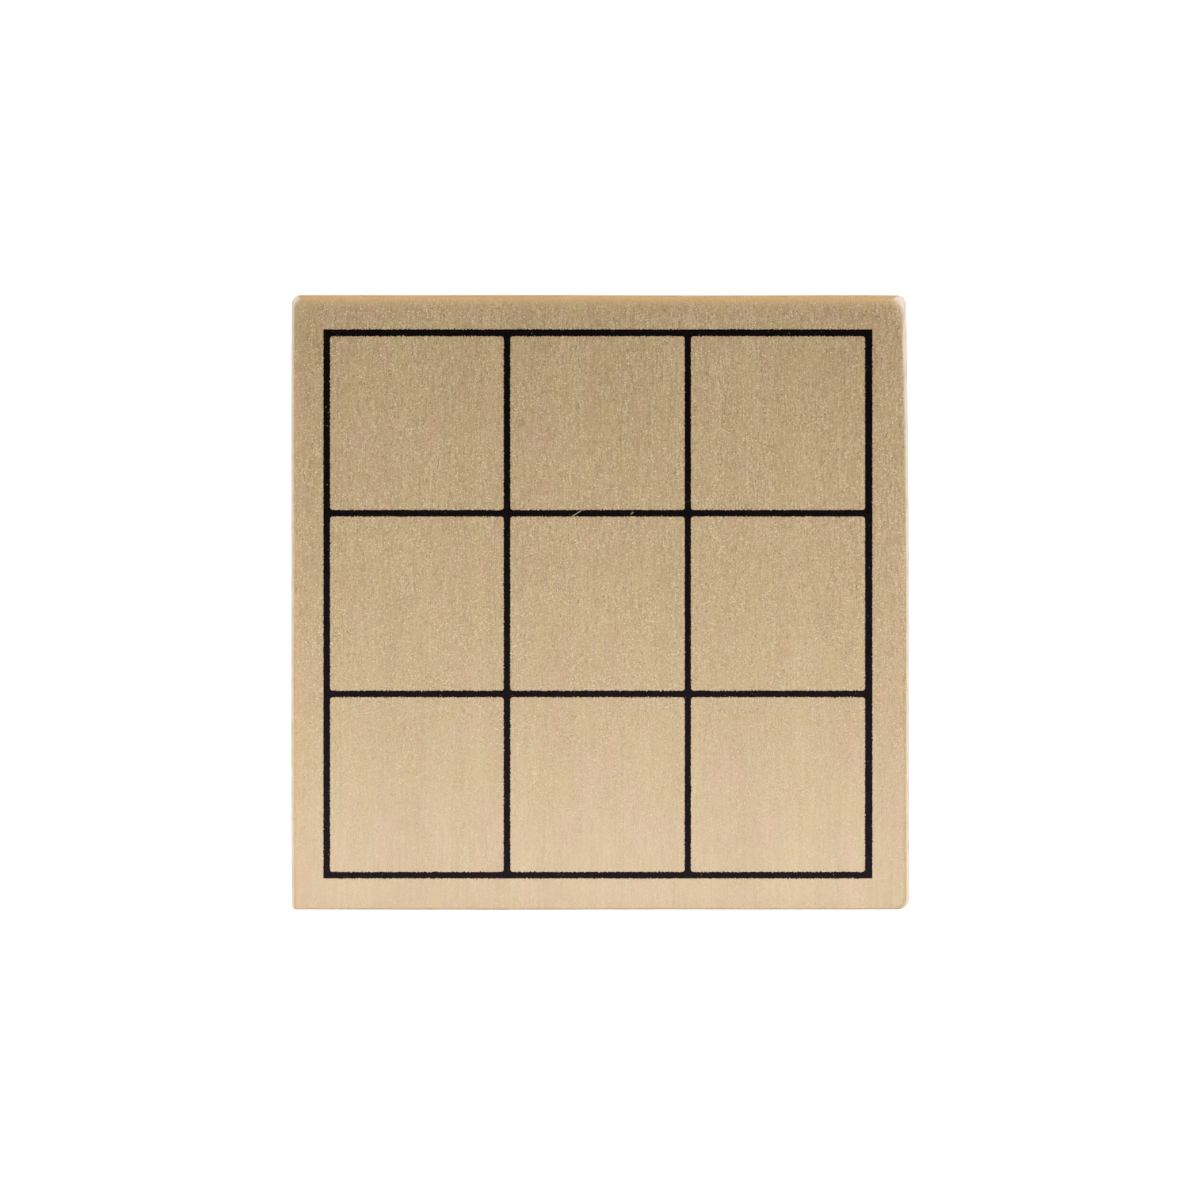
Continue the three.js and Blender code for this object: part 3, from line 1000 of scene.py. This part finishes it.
# %% Rings
RING_STEPS = 128
SECTION_STEPS = 4
RING_GRAIN_DEGREES = (20, 70, 35, 110)

for number, degrees in enumerate(RING_GRAIN_DEGREES, start=1):
    name = f"ring_{number}"
    low, high = box_of(name)
    centre, radius = (low + high) / 2, (high - low)[0] / 2
    section_low = np.array([radius - 2 * STROKE_HALF, low[2]])
    section_high = np.array([radius, high[2]])
    section, _ = rounded_rectangle(section_low, section_high, PIECE_EASE, SECTION_STEPS)
    around = np.linspace(0, 2 * math.pi, RING_STEPS, endpoint=False)[:, None]
    x, y = centre[0] + section[:, 0] * np.cos(around), centre[1] + section[:, 0] * np.sin(around)
    points = np.dstack([x, y, np.broadcast_to(section[:, 1], x.shape)]).reshape(-1, 3)
    faces = quads(RING_STEPS, len(section), closed=True)
    wood = bare_wood(name + "_wood", centre + (0, 0, -number * high[2]), math.radians(degrees))
    stands_for(piece_from(name + "_piece", points, faces, wood), name, name)
    print(name, "points", len(points))

# %% [markdown]
# The photograph's ground is pure white. Its floor is pale paper that glows for rays that reach the
# eye, which makes it white there and lets the box's soft shadow stay without more light on the
# wood.

# %% Floor
PAPER = colour(232, 232, 232)
PAPER_GLOW = 0.6
FLOOR_HALF = 1.5


def seen_directly(finish):
    """1 for rays from the camera and for those that a mirror or glass passes on, else 0."""
    camera_ray = finish.node("LightPath", None, None, "Is Camera Ray")
    glossy_ray = camera_ray.other("Is Glossy Ray")
    passing_ray = camera_ray.other("Is Transmission Ray")
    settings = {"operation": "ADD", "use_clamp": True}
    return finish.node("Math", settings, {0: camera_ray, 1: glossy_ray + passing_ray})


paper = bpy.data.materials.new("floor_paper")
finish = Finish(paper)
diffuse = finish.node("BsdfDiffuse", None, {"Color": PAPER})
glow = finish.node("Emission", None, {"Strength": seen_directly(finish) * PAPER_GLOW})
glowing = finish.node("AddShader", None, {0: diffuse, 1: glow})
finish.node("OutputMaterial", None, {"Surface": glowing})
corners = np.array([(-1, -1, 0), (1, -1, 0), (1, 1, 0), (-1, 1, 0)]) * FLOOR_HALF
floor = piece_from("floor", corners, [(0, 1, 2, 3)], paper)
floor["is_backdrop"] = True
print("floor", 2 * FLOOR_HALF, "m wide")

# %% [markdown]
# The light is a studio's. A long strip with a grid, which narrows its beam, hangs over the front
# edge, so the board is brighter and has more sheen towards the front. Two low lamps behind the box
# make the eased edges shine.

# %% Lamps
LAMPS = (  # name, place, target, width, depth, watts, spread of the beam in degrees
    ("front_strip", (0, -0.09, 0.43), (0, -0.055, BOARD_TOP), 0.45, 0.05, 0.123, 43),
    ("right_rim", (0.38, 0.30, 0.14), (0, 0, BOARD_TOP), 0.2, 0.2, 1.1, 180),
    ("left_rim", (-0.38, 0.30, 0.14), (0, 0, BOARD_TOP), 0.2, 0.2, 0.8, 180),
)


def softbox(name, place, target, width, depth, watts, spread_degrees):
    """A rectangular lamp at a place, turned towards a target, whose beam has this spread."""
    lamp_data = bpy.data.lights.new(name, "AREA")
    lamp_data.shape = "RECTANGLE"
    lamp_data.size = width
    lamp_data.size_y = depth
    lamp_data.energy = watts
    lamp_data.spread = math.radians(spread_degrees)
    lamp = bpy.data.objects.new(name, lamp_data)
    down = np.array(target) - np.array(place)
    tilt = math.acos(-down[2] / np.linalg.norm(down))
    lamp.rotation_euler = (tilt, 0, math.atan2(-down[0], down[1]))
    lamp.location = place
    lamp.visible_camera = False
    scene.collection.objects.link(lamp)


for lamp in LAMPS:
    softbox(*lamp)
print("lamps", len(LAMPS))

# %% [markdown]
# The world is a white tent, brighter near the horizon, which lights the walls from all round.
# What the eye sees of it directly, or in a mirror, is plain white.

# %% White tent
TENT_LIGHT = 0.24
HORIZON_LIGHT = 0.9
HORIZON_NARROWNESS = 3

world = bpy.data.worlds.new("white_tent")
scene.world = world
tent = Finish(world)
direction = tent.node("TexCoord", None, None, "Generated")
height = tent.node("SeparateXYZ", None, {"Vector": direction}, "Z")
strength = (1 - abs(height)) ** HORIZON_NARROWNESS * HORIZON_LIGHT + TENT_LIGHT
lit = tent.node("Background", None, {"Color": (1, 1, 1, 1), "Strength": strength})
white = tent.node("Background", None, {"Color": (1, 1, 1, 1), "Strength": 1.0})
shown = tent.node("MixShader", None, {0: seen_directly(tent), 1: lit, 2: white})
tent.node("OutputWorld", None, {"Surface": shown})

# %% [markdown]
# The dressed model's box is worked out, without the floor.

# %% The dressed model's box
low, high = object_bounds()
